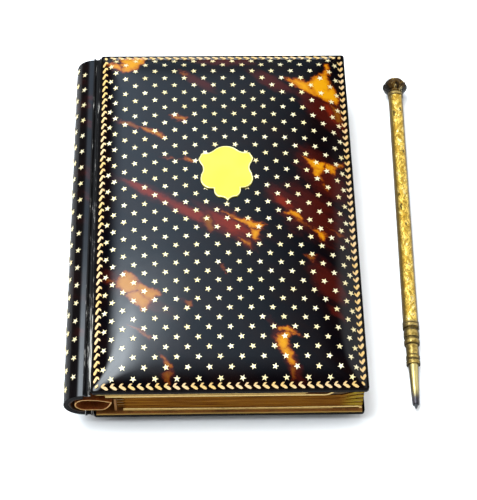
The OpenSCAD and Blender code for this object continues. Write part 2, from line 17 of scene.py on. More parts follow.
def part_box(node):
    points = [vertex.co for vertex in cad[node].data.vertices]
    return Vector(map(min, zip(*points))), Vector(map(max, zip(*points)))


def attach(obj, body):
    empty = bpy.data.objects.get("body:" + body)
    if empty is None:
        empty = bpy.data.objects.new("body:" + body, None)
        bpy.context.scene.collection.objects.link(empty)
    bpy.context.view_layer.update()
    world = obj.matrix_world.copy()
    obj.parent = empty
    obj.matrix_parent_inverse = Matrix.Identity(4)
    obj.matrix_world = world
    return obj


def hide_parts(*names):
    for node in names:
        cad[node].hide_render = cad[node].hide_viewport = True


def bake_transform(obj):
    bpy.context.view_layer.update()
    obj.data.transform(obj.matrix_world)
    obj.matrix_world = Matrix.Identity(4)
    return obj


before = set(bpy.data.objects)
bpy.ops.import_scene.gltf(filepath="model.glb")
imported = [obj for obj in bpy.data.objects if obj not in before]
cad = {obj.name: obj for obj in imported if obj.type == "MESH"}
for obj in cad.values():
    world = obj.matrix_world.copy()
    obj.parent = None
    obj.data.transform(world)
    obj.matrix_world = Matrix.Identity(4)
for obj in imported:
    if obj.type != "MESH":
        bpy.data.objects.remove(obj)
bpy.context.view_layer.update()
mm = 0.001

# %% [markdown]
# ## The camera
# The photograph looks down at the tail from about 58 degrees. A camera could be moved by hand
# until the view looks right, but such a view can't be checked. This one was solved from the
# visible corners of the two covers, so it is set by numbers: where it looks, how far away it
# stands and how it leans. A camera in Blender looks along its own -Z, so its three axes go
# into the columns of its matrix.

# %% Set up the camera
def look(target, azimuth, elevation, roll, distance):
    a, e, t = (math.radians(v) for v in (azimuth, elevation, roll))
    back = Vector((math.sin(a) * math.cos(e), -math.cos(a) * math.cos(e), math.sin(e)))
    right = Vector((0, 0, 1)).cross(back).normalized()
    up = back.cross(right)
    side = right * math.cos(t) + up * math.sin(t)
    top = up * math.cos(t) - right * math.sin(t)
    turn = Matrix((side, top, back)).transposed().to_4x4()
    return Matrix.Translation(Vector(target) + back * distance) @ turn


film_width, photo_width, focal_length = 36, 500, 1506.24  # mm, pixels, pixels
lens = bpy.data.cameras.new("camera")
lens.sensor_width = film_width
lens.lens = focal_length * film_width / photo_width
lens.clip_start = 10 * mm
camera = bpy.data.objects.new("camera", lens)
camera.matrix_world = look((2.927 * mm, -9.696 * mm, 13 * mm), -3.215, 57.847, 2.224, 380.6 * mm)
bpy.context.scene.collection.objects.link(camera)
bpy.context.scene.camera = camera
print("camera at", [round(v, 3) for v in camera.matrix_world.translation])

# %% [markdown]
# ## Shader sums in plain Python
# A finish is a graph of nodes. Written node by node it is hard to read, so one small class
# wraps an output socket: adding, multiplying or dividing two of them adds a Math node, and
# the method `node` makes any other node. A formula for a pattern then reads as a formula.


# %% Wrap a socket
class Wire:
    def __init__(self, tree, socket=None):
        self.tree, self.socket = tree, socket

    def node(self, kind, settings=None, inputs=None, out=0):
        made = self.tree.nodes.new(kind)
        for name, value in (settings or {}).items():
            if name != "stops":
                setattr(made, name, value)
                continue
            stops = made.color_ramp.elements
            stops.remove(stops[1])
            stops[0].position, stops[0].color = value[0][0], (*value[0][1], 1)
            for where, colour in value[1:]:
                stops.new(where).color = (*colour, 1)
        for name, value in (inputs or {}).items():
            if isinstance(value, Wire):
                self.tree.links.new(value.socket, made.inputs[name])
            else:
                made.inputs[name].default_value = value
        return Wire(self.tree, made.outputs[out])

    def sum(self, operation, a, b=0.0):
        return self.node("ShaderNodeMath", {"operation": operation}, {0: a, 1: b})

    def __add__(self, other):
        return self.sum("ADD", self, other)

    def __radd__(self, other):
        return self.sum("ADD", other, self)

    def __sub__(self, other):
        return self.sum("SUBTRACT", self, other)

    def __rsub__(self, other):
        return self.sum("SUBTRACT", other, self)

    def __mul__(self, other):
        return self.sum("MULTIPLY", self, other)

    def __rmul__(self, other):
        return self.sum("MULTIPLY", other, self)

    def __truediv__(self, other):
        return self.sum("DIVIDE", self, other)

    def __rtruediv__(self, other):
        return self.sum("DIVIDE", other, self)


print("a socket now adds, subtracts, multiplies and divides")

# %% [markdown]
# A few patterns come back in every finish: a place in millimetres, its x, y and z, noise, a
# soft step from 0 to 1, and a mix of two colours. They are short functions over the same
# class.


# %% Name the common patterns
def start(name):
    made = bpy.data.materials.new(name)
    made.use_nodes = True
    shader = made.node_tree.nodes["Principled BSDF"]
    return made, Wire(made.node_tree), shader


def feed(shader, wire, **inputs):
    for name, value in inputs.items():
        socket = shader.inputs[name.replace("_", " ")]
        if isinstance(value, Wire):
            wire.tree.links.new(value.socket, socket)
        else:
            socket.default_value = (*value, 1) if isinstance(value, tuple) else value


def vector(wire, operation, inputs, out=0):
    return wire.node("ShaderNodeVectorMath", {"operation": operation}, inputs, out)


def place_mm(wire):
    spot = wire.node("ShaderNodeTexCoord", out="Object")
    return vector(wire, "SCALE", {0: spot, "Scale": 1000.0})


def axes_of(wire, spot, names):
    return [wire.node("ShaderNodeSeparateXYZ", None, {"Vector": spot}, name) for name in names]


def stretched(wire, spot, size, turn=(0, 0, 0), shift=(0, 0, 0)):
    return wire.node("ShaderNodeMapping", {"vector_type": "TEXTURE"},
                     {"Vector": spot, "Location": shift, "Rotation": turn, "Scale": size})


def noise(wire, spot, size, detail=3.0, rough=0.5, out=0):
    return wire.node("ShaderNodeTexNoise", None,
                     {"Vector": spot, "Scale": 1 / size, "Detail": detail, "Roughness": rough}, out)


def step(wire, value, low, high):
    return wire.node("ShaderNodeMapRange", {"interpolation_type": "SMOOTHSTEP"},
                     {"Value": value, "From Min": low, "From Max": high})


def blend_colour(wire, amount, a, b):
    a, b = ((*c, 1) if isinstance(c, tuple) else c for c in (a, b))
    return wire.node("ShaderNodeMix", {"data_type": "RGBA"}, {0: amount, 6: a, 7: b}, out=2)


def relief(wire, height, depth, strength=1.0):
    return wire.node("ShaderNodeBump", None, {"Height": height, "Distance": depth, "Strength": strength})


def dress(material, *names):
    for name in names:
        for slot in cad[name].material_slots:
            slot.material = material
        if not cad[name].material_slots:
            cad[name].data.materials.append(material)


print("pattern helpers ready")

# %% [markdown]
# ## Light
# Polished shell is nearly black, so what the eye sees on it is the room. The room could be a
# picture wrapped round the scene, or lamps of many shapes. A world made of nodes is small and
# easy to tune: the direction of each ray picks its light. Here a cool sky stands behind the
# head of the case and fades towards the right, one bright window hangs at the left, and a
# faint glow comes from the far right. The ceiling over the camera is dark.

# %% Paint the room
world = bpy.data.worlds.new("studio")
bpy.context.scene.world = world
world.use_nodes = True
room = Wire(world.node_tree)
sky_light, window_light, far_light = 2.0, 9.5, 0.7
ray = room.node("ShaderNodeTexCoord", out="Generated")
x, y, z = axes_of(room, ray, "XYZ")
fade = room.sum("POWER", 1 - step(room, x, -0.16, 0.26), 1.5)
sky = sky_light * fade * step(room, x, -0.62, -0.34) * step(room, y, -0.35, 0.42)
sky = sky * (1 - 0.60 * step(room, y, 0.66, 0.95))
window = step(room, 0 - x, 0.01, 0.20) * (1 - step(room, (y - 0.45) * 0.55 - x, 0.38, 0.62))
window = window_light * window * (1 - step(room, y, 0.45, 0.545)) * step(room, y, -0.40, 0.02)
far = far_light * step(room, x, 0.38, 0.55) * (1 - step(room, y, 0.50, 0.60))
over_table = step(room, z, 0.0, 0.15)
room_light = (0.012, 0.012, 0.014)
for tint, amount in (((0.60, 0.79, 1.0), sky), ((0.88, 0.95, 1.0), window), ((0.9, 0.95, 1.0), far)):
    part = vector(room, "SCALE", {0: tint, "Scale": amount * over_table})
    room_light = vector(room, "ADD", {0: room_light, 1: part})
world.node_tree.links.new(room_light.socket, world.node_tree.nodes["Background"].inputs["Color"])
print("room painted with", len(world.node_tree.nodes), "nodes")

# %% [markdown]
# The white table needs far more light than the shell may mirror. A photographer flags such
# lamps off the glossy object; in Blender a lamp has a switch for it. Four large soft panels
# light the table, the leather and the paper. The strongest hangs high behind the case, so a
# short soft shadow falls at the tail.


# %% Hang the panels
def panel(name, place, size, watts, colour):
    light = bpy.data.lights.new(name, "AREA")
    light.shape, light.size, light.size_y = "RECTANGLE", size[0], size[1]
    light.energy, light.color = watts, colour
    lamp = bpy.data.objects.new(name, light)
    lamp.location = place
    lamp.rotation_euler = (-Vector(place)).to_track_quat("-Z", "Y").to_euler()
    lamp.visible_glossy = False
    bpy.context.scene.collection.objects.link(lamp)


panel("back_panel", (-0.05, 0.36, 0.95), (1.0, 0.7), 8.4, (1.0, 0.99, 0.98))
panel("left_panel", (-0.85, 0.10, 0.60), (0.6, 0.6), 2.6, (1.0, 0.99, 0.98))
panel("right_panel", (0.85, 0.10, 0.60), (0.6, 0.6), 2.6, (1.0, 0.99, 0.98))
panel("front_panel", (0.0, -0.80, 0.55), (0.8, 0.5), 0.9, (1.0, 0.98, 0.95))
bpy.context.scene.view_settings.view_transform = "Standard"

# %% [markdown]
# ## The table
# A plain white sheet, far larger than the object, so that its edges never show. A plane that
# only catches shadows would be lighter, but the polished rims also mirror the card, so it is a
# real one: matt, with the faintest mottle, and a hair below the case.

# %% Lay the table
reach, below = 4, -0.03 * mm
card = bpy.data.meshes.new("table")
corners = ((-reach, -reach), (reach, -reach), (reach, reach), (-reach, reach))
card.from_pydata([(x, y, below) for x, y in corners], [], [(0, 1, 2, 3)])
table = bpy.data.objects.new("table", card)
bpy.context.scene.collection.objects.link(table)
white_card, w, shader = start("white_card")
mottle = noise(w, place_mm(w), 30.0)
feed(shader, w, Base_Color=blend_colour(w, mottle, (0.91, 0.91, 0.91), (0.94, 0.94, 0.94)), Roughness=0.75,
     Specular_IOR_Level=0.2)
card.materials.append(white_card)
print("table laid in", white_card.name)

# %% [markdown]
# ## Tortoiseshell
# Polished shell is a clear amber plate with dark clouds in it, laid over a dark ground: most
# of it reads as brown black, and where the clouds part it glows amber with a red-brown
# fringe. Noise alone gives clouds in places of its own choosing. On the front cover the clear
# patches are angular, so each is given as one or more shards: convex outlines with a few
# corners, in millimetres, counter-clockwise. Some are bright, some veiled, some faint. The
# red-brown drifts are soft, so they are ovals: a place, a half length, a half width and a
# lean. Some glow redder in their middle. Noise only frays all of them. The spine and the back
# take their clouds from noise.

# %% Where the clouds part on the front cover
shards = {
    "bright": [
        [(20.8, 37.1), (25.0, 34.6), (22.9, 39.7), (20.2, 40.8), (16.2, 41.6)],
        [(24.4, 34.8), (27.8, 33.4), (28.8, 39.4), (27.6, 42.7), (24.5, 41.9), (22.1, 39.7)],
        [(30.0, 32.6), (30.7, 34.3), (30.3, 37.3), (28.8, 39.4), (24.4, 34.8)],
        [(27.3, 42.2), (28.6, 42.8), (28.4, 46.3), (27.5, 46.3)],
        [(22.4, 11.3), (25.6, 11.2), (25.9, 13.7), (20.6, 15.1)],
        [(25.5, 11.2), (28.2, 9.9), (28.6, 11.8), (27.7, 12.8), (25.8, 13.7)],
        [(22.8, 8.9), (24.2, 8.8), (25.5, 11.5), (22.3, 12.2)],
        [(16.5, -3.2), (18.6, -4.8), (19.0, -3.8), (17.9, -1.9), (16.3, -1.0), (14.5, -1.9)],
        [(23.5, -10.2), (24.2, -10.4), (24.9, -8.9), (24.2, -7.7), (21.6, -7.0)],
        [(5.8, -6.8), (8.5, -7.1), (9.7, -5.9), (6.0, -4.3), (1.1, -3.5)],
        [(6.2, -9.8), (7.2, -10.2), (8.1, -9.0), (8.5, -7.0), (5.8, -6.6)],
        [(11.9, -36.6), (15.0, -37.0), (17.6, -38.0), (17.2, -37.2), (14.1, -34.8), (11.6, -35.2)],
        [(11.4, -39.5), (12.8, -41.9), (14.1, -40.1), (14.8, -36.7), (11.5, -37.0)],
        [(14.7, -45.4), (15.5, -45.5), (15.2, -42.4), (14.1, -40.0), (11.8, -40.7)],
        [(-27.0, 44.0), (-23.4, 44.5), (-21.1, 48.5), (-21.5, 50.4), (-27.8, 49.5)],
        [(-29.3, 45.5), (-26.7, 44.0), (-27.7, 47.2), (-31.4, 47.8)],
    ],
    "veiled": [
        [(-12.5, 27.3), (-10.5, 26.3), (-9.6, 28.0), (-13.2, 29.3), (-14.6, 28.8)],
        [(-15.5, -44.7), (-14.0, -45.8), (-13.6, -45.0), (-15.9, -41.9), (-16.8, -41.4)],
        [(25.3, 5.0), (25.8, 4.8), (24.6, 8.8), (24.0, 9.3)],
        [(28.3, 11.8), (30.6, 12.9), (30.7, 14.1), (27.6, 12.9)],
        [(3.9, -11.4), (6.1, -12.7), (5.2, -11.0), (3.2, -9.8)],
        [(-20.9, 24.0), (-16.5, 21.2), (-15.7, 22.0), (-17.7, 24.0), (-22.7, 25.8)],
        [(-8.6, 13.3), (-7.4, 13.9), (-10.2, 15.3), (-11.9, 14.6)],
        [(-27.6, -21.1), (-27.6, -23.2), (-25.5, -25.4), (-22.1, -24.7),
         (-21.7, -21.9), (-23.7, -19.4), (-25.2, -18.9)],
        [(-23.6, -24.1), (-18.9, -27.8), (-16.5, -26.0), (-17.0, -24.8), (-22.0, -21.6)],
        [(-21.0, -30.2), (-20.3, -30.1), (-18.6, -27.2), (-22.0, -23.9), (-25.5, -25.3)],
        [(5.8, -6.6), (5.8, -5.3), (1.8, -2.6), (-1.8, -1.6)],
    ],
    "faint": [
        [(-4.5, -7.8), (-3.6, -7.7), (-3.2, -4.4), (-4.7, -2.6), (-6.4, -3.7)],
        [(21.7, -7.5), (22.2, -7.0), (18.7, -4.4), (17.4, -4.4)],
        [(28.5, -9.1), (29.0, -8.5), (26.7, -7.0), (25.5, -6.7)],
        [(14.6, -48.4), (15.7, -48.4), (15.6, -45.5), (14.5, -45.4)],
        [(20.6, -16.8), (21.9, -14.7), (19.2, -14.6)],
        [(28.2, 32.6), (29.6, 27.0), (31.2, 27.6), (30.6, 32.0)],
        [(-27.7, 26.8), (-22.3, 24.4), (-22.1, 25.5), (-24.9, 27.2), (-29.0, 27.9)],
        [(-14.8, 14.6), (-13.0, 14.9), (-14.2, 15.5), (-16.2, 15.2)],
        [(-11.0, 42.5), (-8.8, 42.7), (-9.5, 43.5), (-11.8, 44.5)],
        [(-29.6, -21.2), (-27.4, -21.9), (-27.3, -21.0), (-29.8, -20.1)],
        [(-1.6, -19.3), (-0.6, -19.7), (-1.1, -17.3), (-1.9, -16.9)],
        [(-9.7, -29.5), (-8.7, -29.3), (-8.9, -27.8), (-11.1, -27.2)],
        [(-19.3, -38.3), (-18.9, -37.5), (-21.2, -35.4), (-23.2, -34.7)],
        [(-14.6, -49.0), (-13.7, -46.9), (-14.9, -45.7), (-16.4, -46.8)],
    ],
}
drifts = [
    (-17.2, 3.0, 14.4, 2.2, -31), (-0.3, -5.2, 12.0, 4.2, -29), (-0.8, 47.9, 9.6, 1.9, -3),
    (-6.6, 40.2, 7.4, 1.6, -36), (12.4, 40.3, 7.7, 2.6, -36), (25.9, 30.5, 10.3, 3.8, -50),
    (24.8, 9.6, 11.3, 5.2, -56), (21.6, -2.7, 12.9, 6.9, -44), (14.0, 2.5, 5.6, 3.4, -45),
    (24.5, -22.5, 8.0, 4.0, -62), (26.0, -31.0, 3.4, 1.4, -48), (13.7, -41.9, 11.0, 1.9, -67),
    (-14.6, -45.6, 3.6, 0.9, -60), (-23.0, -24.8, 11.2, 2.8, -37), (4.6, -11.3, 3.8, 1.6, -36),
]
glows = [
    (-19.6, 4.6, 9.0, 1.3, -31), (-8.5, -2.4, 8.4, 1.9, -31), (1.0, -6.0, 8.0, 2.4, -29),
    (28.9, 29.6, 4.6, 1.7, -62), (14.5, 1.0, 3.6, 1.5, -48),
]
print(sum(len(s) for s in shards.values()), "amber shards and", len(drifts) + len(glows), "red-brown drifts")

# %% [markdown]
# A shard is the space inside all of its sides, so the depth inside it is the least distance to
# a side, and the largest depth of all shards is the field. An oval is a stretched ball. The
# depth then picks the colour from a ramp, from the red-brown fringe to clear amber.


# %% Measure the depth in the clouds
def patches(wire, spot, outlines):
    field = None
    for corners in outlines:
        inside = None
        for (x0, y0), (x1, y1) in zip(corners, corners[1:] + corners[:1]):
            run = math.hypot(x1 - x0, y1 - y0)
            inward = ((y0 - y1) / run, (x1 - x0) / run, 0)
            depth = vector(wire, "DOT_PRODUCT", {0: spot, 1: inward}, "Value")
            depth = depth - (inward[0] * x0 + inward[1] * y0)
            inside = depth if inside is None else wire.sum("MINIMUM", inside, depth)
        field = inside if field is None else wire.sum("MAXIMUM", field, inside)
    return field


def clouds(wire, spot, places):
    field, right_through = None, 1000
    for x, y, length, width, lean in places:
        oval = stretched(wire, spot, (length, width, right_through), (0, 0, math.radians(lean)), (x, y, 0))
        near = 1 - vector(wire, "LENGTH", {0: oval}, "Value")
        field = near if field is None else wire.sum("MAXIMUM", field, near)
    return field


def frayed(wire, spot, size, reach):
    drift = noise(wire, spot, size, 3.0, 0.6, "Color")
    drift = vector(wire, "SUBTRACT", {0: drift, 1: (0.5, 0.5, 0.5)})
    return vector(wire, "ADD", {0: spot, 1: vector(wire, "SCALE", {0: drift, "Scale": reach})})


def amber(wire, depth, strength):
    stops = [(0.0, (0.040, 0.0054, 0.0016)), (0.25, (0.15, 0.026, 0.0018)),
             (0.50, (0.32, 0.104, 0.0024)), (1.0, (0.45, 0.196, 0.0028))]
    stops = [(at, (r * strength, g * strength ** 1.25, b)) for at, (r, g, b) in stops]
    return wire.node("ShaderNodeValToRGB", {"stops": stops}, {"Fac": step(wire, depth, -0.7, 1.5)})


print("cloud helpers ready")

# %% [markdown]
# The CAD cushion is two crossed arches, so its top has a crease from each corner, and each arch
# turns suddenly from its flat crown into its margin. On the real board hand polishing has
# rounded both. The shape stays, but the polish shows in the mirror image, so a bump does the
# rounding, in millimetres: it spreads each sudden turn over a few millimetres, and where the
# two arches are nearly equally high it lowers the surface by a smooth dip.


# %% Round the creases in the polish
half_width, half_height, margin_run, margin_radius = 32.5, 50.5, 7.47, 17.018
crown_radius = {"X": 410.0, "Y": 704.8}
eased_over, crease_reach = 5.0, 0.9


def arch(wire, spot, axis, half):
    t = wire.sum("ABSOLUTE", *axes_of(wire, spot, axis))
    flat = half - margin_run
    crown = wire.sum("MINIMUM", t, flat)
    margin = wire.sum("MINIMUM", wire.sum("MAXIMUM", t, flat), half) - (half - margin_radius / 2)
    height = (wire.sum("SQRT", margin_radius ** 2 - margin * margin)
              + (flat * flat - crown * crown) / (2 * crown_radius[axis]))
    turn = wire.sum("MINIMUM", wire.sum("MAXIMUM", (t - flat) / eased_over, -1.0), 1.0)
    inner, outer = 1 + wire.sum("MINIMUM", turn, 0.0), 1 - wire.sum("MAXIMUM", turn, 0.0)
    jump = 1 / margin_radius - 1 / crown_radius[axis]
    return height, height - (inner * inner * inner + 1 - outer * outer * outer) * (jump * eased_over ** 2 / 12)


def polished_creases(wire, spot):
    sharp_x, soft_x = arch(wire, spot, "X", half_width)
    sharp_y, soft_y = arch(wire, spot, "Y", half_height)
    close = wire.sum("MAXIMUM", 1 - wire.sum("ABSOLUTE", soft_x - soft_y) / crease_reach, 0.0)
    soft = wire.sum("MINIMUM", soft_x, soft_y) - close * close * (crease_reach / 4)
    return soft - wire.sum("MINIMUM", sharp_x, sharp_y)


print("creases rounded over", eased_over, "mm")

# %% [markdown]
# The rims of the boards mirror the table beside them, which lies in the case's shadow, so they
# are dark all round: that shade is painted in. A second, duller shader is mixed in there as
# painted shade, picked by the distance from the middle of the board, and takes no light from the
# table. The spine gets the same painted shade at its two ends, and partly on its round back.


# %% Find where the shade is painted
def shaded_board_rim(wire, spot):
    rim = 0.15
    x, y = (wire.sum("ABSOLUTE", axis) for axis in axes_of(wire, spot, "XY"))
    sides, ends = step(wire, x, half_width - rim, half_width), step(wire, y, half_height - rim, half_height)
    return wire.sum("MAXIMUM", sides, ends)


def shaded_spine_places(wire, spot):
    x, y = axes_of(wire, spot, "XY")
    x_full_shade, x_no_shade, y_shade_from, y_end = -36.7, -35.9, 50.85, 50.97
    back = 0.75 * (1 - step(wire, x, x_full_shade, x_no_shade))
    return wire.sum("MAXIMUM", back, step(wire, wire.sum("ABSOLUTE", y), y_shade_from, y_end))


print("rims are dull from", half_width, "and", half_height, "mm outward")


# %% Dress the boards and the spine
brown_black, red_black = (0.0012, 0.0010, 0.0017), (0.0040, 0.0014, 0.0012)
red_brown, glowing_red = (0.034, 0.0032, 0.0018), (0.135, 0.0105, 0.0022)


def shell(name, outlines=None, drifts=None, glows=None, shift=(0, 0, 0), specular=0.5, board=True):
    made, w, shader = start(name)
    spot = place_mm(w)
    bent = frayed(w, spot, 2.6, 2.0)
    lean = (0, 0, math.radians(-33))
    streak = noise(w, stretched(w, spot, (1.0, 0.30, 1.0), lean, shift), 5.0, 4.0, 0.6)
    haze = noise(w, stretched(w, spot, (1.0, 0.45, 1.0), lean, shift), 16.0, 4.0, 0.6)
    speck = noise(w, spot, 0.9, 3.0, 0.65)
    if drifts:
        warm = step(w, clouds(w, bent, drifts) + (streak - 0.5) * 1.2 + (speck - 0.5) * 0.3, -0.15, 0.65)
    else:
        warm = step(w, haze, 0.54, 0.68)
    colour = blend_colour(w, step(w, haze, 0.35, 0.7), brown_black, red_black)
    colour = blend_colour(w, warm * 0.95, colour, red_brown)
    if glows:
        red = step(w, clouds(w, bent, glows) + (streak - 0.5) * 1.0 + (speck - 0.5) * 0.3, -0.20, 0.75)
        colour = blend_colour(w, red * 0.8, colour, glowing_red)
    fray = (streak - 0.5) * 1.6 + (speck - 0.5) * 1.4
    if outlines:
        for kind, strength in (("faint", 0.34), ("veiled", 0.66), ("bright", 1.0)):
            depth = patches(w, bent, outlines[kind]) + fray
            colour = blend_colour(w, step(w, depth, -0.60, 0.25), colour, amber(w, depth, strength))
    else:
        depth = (haze - 0.68) * 16 + fray
        colour = blend_colour(w, step(w, depth, -0.60, 0.25), colour, amber(w, depth, 0.7))
    hairline = noise(w, stretched(w, spot, (0.05, 1.6, 1.0), (0, 0, math.radians(20))), 1.0, 2.0)
    rough = 0.06 + step(w, hairline, 0.62, 0.75) * 0.05 + haze * 0.04
    height = noise(w, spot, 9.0, 2.0) * 0.02
    if board:
        height = height + polished_creases(w, spot)
    feed(shader, w, Base_Color=colour, Roughness=rough, Specular_IOR_Level=specular, Normal=relief(w, height, mm))
    # Painted shade: on the board rims and the spine's ends and back, a dark, almost unreflecting shader replaces the
    # polish.
    shade_shader = w.node("ShaderNodeBsdfPrincipled", None,
                  {"Base Color": (0.0030, 0.0022, 0.0022, 1), "Roughness": 0.40, "Specular IOR Level": 0.02})
    worn = shaded_board_rim(w, spot) if board else shaded_spine_places(w, spot)
    surface = w.node("ShaderNodeMixShader", None, {0: worn, 1: Wire(w.tree, shader.outputs[0]), 2: shade_shader})
    w.tree.links.new(surface.socket, w.tree.nodes["Material Output"].inputs["Surface"])
    return made


dress(shell("front_tortoiseshell", shards, drifts, glows), "front_board")
dress(shell("spine_tortoiseshell", shift=(31, 7, 0), specular=0.35, board=False), "spine_shell")
dress(shell("back_tortoiseshell", shift=(12, 40, 5)), "back_board")
print("tortoiseshell on the two covers and the spine")

# %% [markdown]
# ## Gold
# The stars, the border and the shield are thin gold plates. A plain metal would mirror the
# dark ceiling and turn black. Old foil is rubbed, so it is partly a mirror with a warm tint and
# partly a matt pale yellow. Fine scratches and a soft waviness keep it from looking like
# plastic. One function makes all of them, with a pale and a rich tone for each.


# %% Make the gold finishes
def gold(name, pale, rich, rough, wave=0.5, grain=0.25, metal=0.6):
    made, w, shader = start(name)
    spot = place_mm(w)
    tone = noise(w, spot, 6.0, 3.0)
    brush = noise(w, stretched(w, spot, (2.5, 0.12, 1.0), (0, 0, math.radians(12))), 0.6, 3.0)
    pit = step(w, noise(w, spot, 0.45, 2.0), 0.66, 0.74)
    colour = blend_colour(w, step(w, tone, 0.35, 0.65), pale, rich)
    colour = blend_colour(w, pit * 0.35, colour, tuple(0.45 * c for c in rich))
    feed(shader, w, Base_Color=colour, Metallic=metal, Roughness=rough + (brush - 0.5) * grain + pit * 0.1,
         Normal=relief(w, noise(w, spot, 1.1, 2.0) * 0.7 + brush * 0.3 - pit * 0.3, 0.04 * mm, wave))
    return made


dress(gold("star_gold", (0.92, 0.81, 0.52), (0.88, 0.72, 0.36), 0.46), "front_stars", "spine_stars")
dress(gold("border_gold", (0.92, 0.64, 0.34), (0.90, 0.58, 0.20), 0.44), "front_border")
dress(gold("shield_gold", (0.97, 0.86, 0.066), (0.95, 0.80, 0.050), 0.42, 0.2, 0.10, 0.5), "front_shield")
print("gold on the stars, the border and the shield")

# %% [markdown]
# ## Leather
# The linings, pockets and pencil sleeve are thin skiver leather, red brown and rubbed. Their
# cut edges at the head and the tail are a paler raw tan, as the photograph shows. The cut faces
# could get a material of their own. But every piece ends at a known y, so one test on y picks
# them out, and a single finish serves the whole sheet.

# %% Make the leather finishes
lining_half, pocket_half, back_half, spine_half = 50.26, 50.16, 50.95, 50.96


def leather(name, dark, light, cut, half):
    made, w, shader = start(name)
    spot = place_mm(w)
    pebble_size = 0.35
    (y,) = axes_of(w, spot, "Y")
    raw = step(w, w.sum("ABSOLUTE", y), half - 0.06, half - 0.03)
    patch = noise(w, spot, 9.0, 4.0, 0.6)
    pebble = w.node("ShaderNodeTexVoronoi", {"feature": "SMOOTH_F1"},
                    {"Vector": spot, "Scale": 1 / pebble_size, "Smoothness": 0.4})
    fibre = noise(w, stretched(w, spot, (1.2, 1.0, 0.10)), 0.5, 3.0)
    skin = blend_colour(w, step(w, patch + (pebble - 0.4) * 0.25, 0.3, 0.7), dark, light)
    colour = blend_colour(w, raw * (0.35 + 0.65 * step(w, fibre, 0.3, 0.6)), skin, cut)
    feed(shader, w, Base_Color=colour, Roughness=0.48 + (patch - 0.5) * 0.25 + raw * 0.2, Specular_IOR_Level=0.12,
         Normal=relief(w, pebble * (1 - raw) + fibre * raw, 0.07 * mm, 0.7))
    return made


sleeve_leather = leather("sleeve_leather", (0.13, 0.030, 0.006), (0.26, 0.072, 0.014),
                         (0.58, 0.35, 0.12), spine_half)
lining_leather = leather("lining_leather", (0.12, 0.045, 0.012), (0.24, 0.095, 0.022),
                         (0.44, 0.29, 0.050), lining_half)
pocket_leather = leather("pocket_leather", (0.14, 0.052, 0.013), (0.27, 0.110, 0.026),
                         (0.86, 0.62, 0.23), pocket_half)
back_leather = leather("back_lining_leather", (0.12, 0.045, 0.012), (0.24, 0.095, 0.022),
                       (0.34, 0.21, 0.040), back_half)
# The welts are darker than the pockets: partly their own leather, partly painted shade of the slot between lining and
# pocket leaf.
welt_leather = leather("welt_leather", (0.10, 0.036, 0.008), (0.20, 0.080, 0.016),
                       (0.50, 0.31, 0.080), pocket_half)
spine_leather = leather("spine_leather", (0.020, 0.008, 0.004), (0.045, 0.016, 0.006),
                        (0.012, 0.008, 0.006), spine_half)
dress(welt_leather, "front_pocket_welts", "back_pocket_welts")
print("leathers ready, and the welts dressed")

# %% [markdown]
# The CAD shows the leather as flat plates. Real skiver is a thin sheet that ripples a little,
# turns round an edge in a soft bend and has a rounded cut. A cloth simulation could bend it,
# but a bound sheet hardly moves, so each piece is swept along Y from its centre line, seen
# from the tail: a list of (x, z) points, with its thickness. The ends of the sweep are drawn
# in a little, for the rounded cut.


# %% Draw a centre line
def level(x0, x1, z, count=40):
    return [(x0 + (x1 - x0) * k / count, z) for k in range(count + 1)]


def bend(x, z, radius, first, last, count=10):
    angles = [math.radians(first + (last - first) * k / count) for k in range(count + 1)]
    return [(x + radius * math.cos(a), z + radius * math.sin(a)) for a in angles]


def offset_rails(line, thick, closed):
    rails = ([], [])
    n = len(line)
    for i, (x, z) in enumerate(line):
        before = line[i - 1] if i or closed else line[i]
        after = line[(i + 1) % n] if i < n - 1 or closed else line[i]
        run = Vector((after[0] - before[0], after[1] - before[1])).normalized()
        for rail, side in zip(rails, (0.5, -0.5)):
            rail.append((x - run.y * thick * side, z + run.x * thick * side, -run.y, run.x))
    return rails


print("a quarter bend has", len(bend(0, 0, 1, 0, 90)), "points")


# %% Sweep a line into a grid
def sheet_grid(form, line, thick, half, closed, ripple, seed):
    rng = random.Random(seed)
    phase, pace = rng.uniform(0, 6.28), rng.uniform(0.14, 0.22)
    cut_round, near, inset, count = 0.10, 0.05, 0.15, 60
    stations = [-half, -half + near, -half + inset]
    stations += [-half + inset + (2 * half - 2 * inset) * k / count for k in range(1, count)]
    stations += [half - inset, half - near, half]
    grid = []
    for j, y in enumerate(stations):
        lip = {0: 1.0, 1: 0.3}.get(min(j, len(stations) - 1 - j), 0.0) * cut_round
        rings = []
        for rail in offset_rails(line, thick - 2 * lip, closed):
            ring = []
            for x, z, nx, nz in rail:
                wave = ripple * math.sin(phase + pace * y + 0.11 * x) * math.sin(0.05 * y + phase)
                ring.append(form.verts.new(((x + nx * wave) * mm, y * mm, (z + nz * wave) * mm)))
            rings.append(ring)
        grid.append(rings)
    return grid


def put(form, name, *finishes):
    mesh = bpy.data.meshes.new(name)
    form.to_mesh(mesh)
    form.free()
    for finish in finishes:
        mesh.materials.append(finish)
    made = bpy.data.objects.new(name, mesh)
    bpy.context.scene.collection.objects.link(made)
    return made


print("a swept line gets a top and an underside")


# %% Close the grid into a leather sheet
def leather_sheet(node, body, line, thick, half, finish, closed=False, ripple=0.03, seed=1):
    form = bmesh.new()
    grid = sheet_grid(form, line, thick, half, closed, ripple, seed)
    n = len(line)
    spans = [(i, (i + 1) % n) for i in range(n if closed else n - 1)]
    for (top0, low0), (top1, low1) in zip(grid, grid[1:]):
        for i, k in spans:
            form.faces.new((top0[i], top1[i], top1[k], top0[k]))
            form.faces.new((low0[i], low0[k], low1[k], low1[i]))
        if not closed:
            for i in (0, n - 1):
                form.faces.new((top0[i], low0[i], low1[i], top1[i]))
    for top, low in (grid[0], grid[-1]):
        for i, k in spans:
            form.faces.new((top[i], top[k], low[k], low[i]))
    bmesh.ops.recalc_face_normals(form, faces=form.faces)
    sheet = put(form, node + "_leather", finish)
    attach(sheet, body)
    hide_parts(node)


print("leather sheets can be swept")

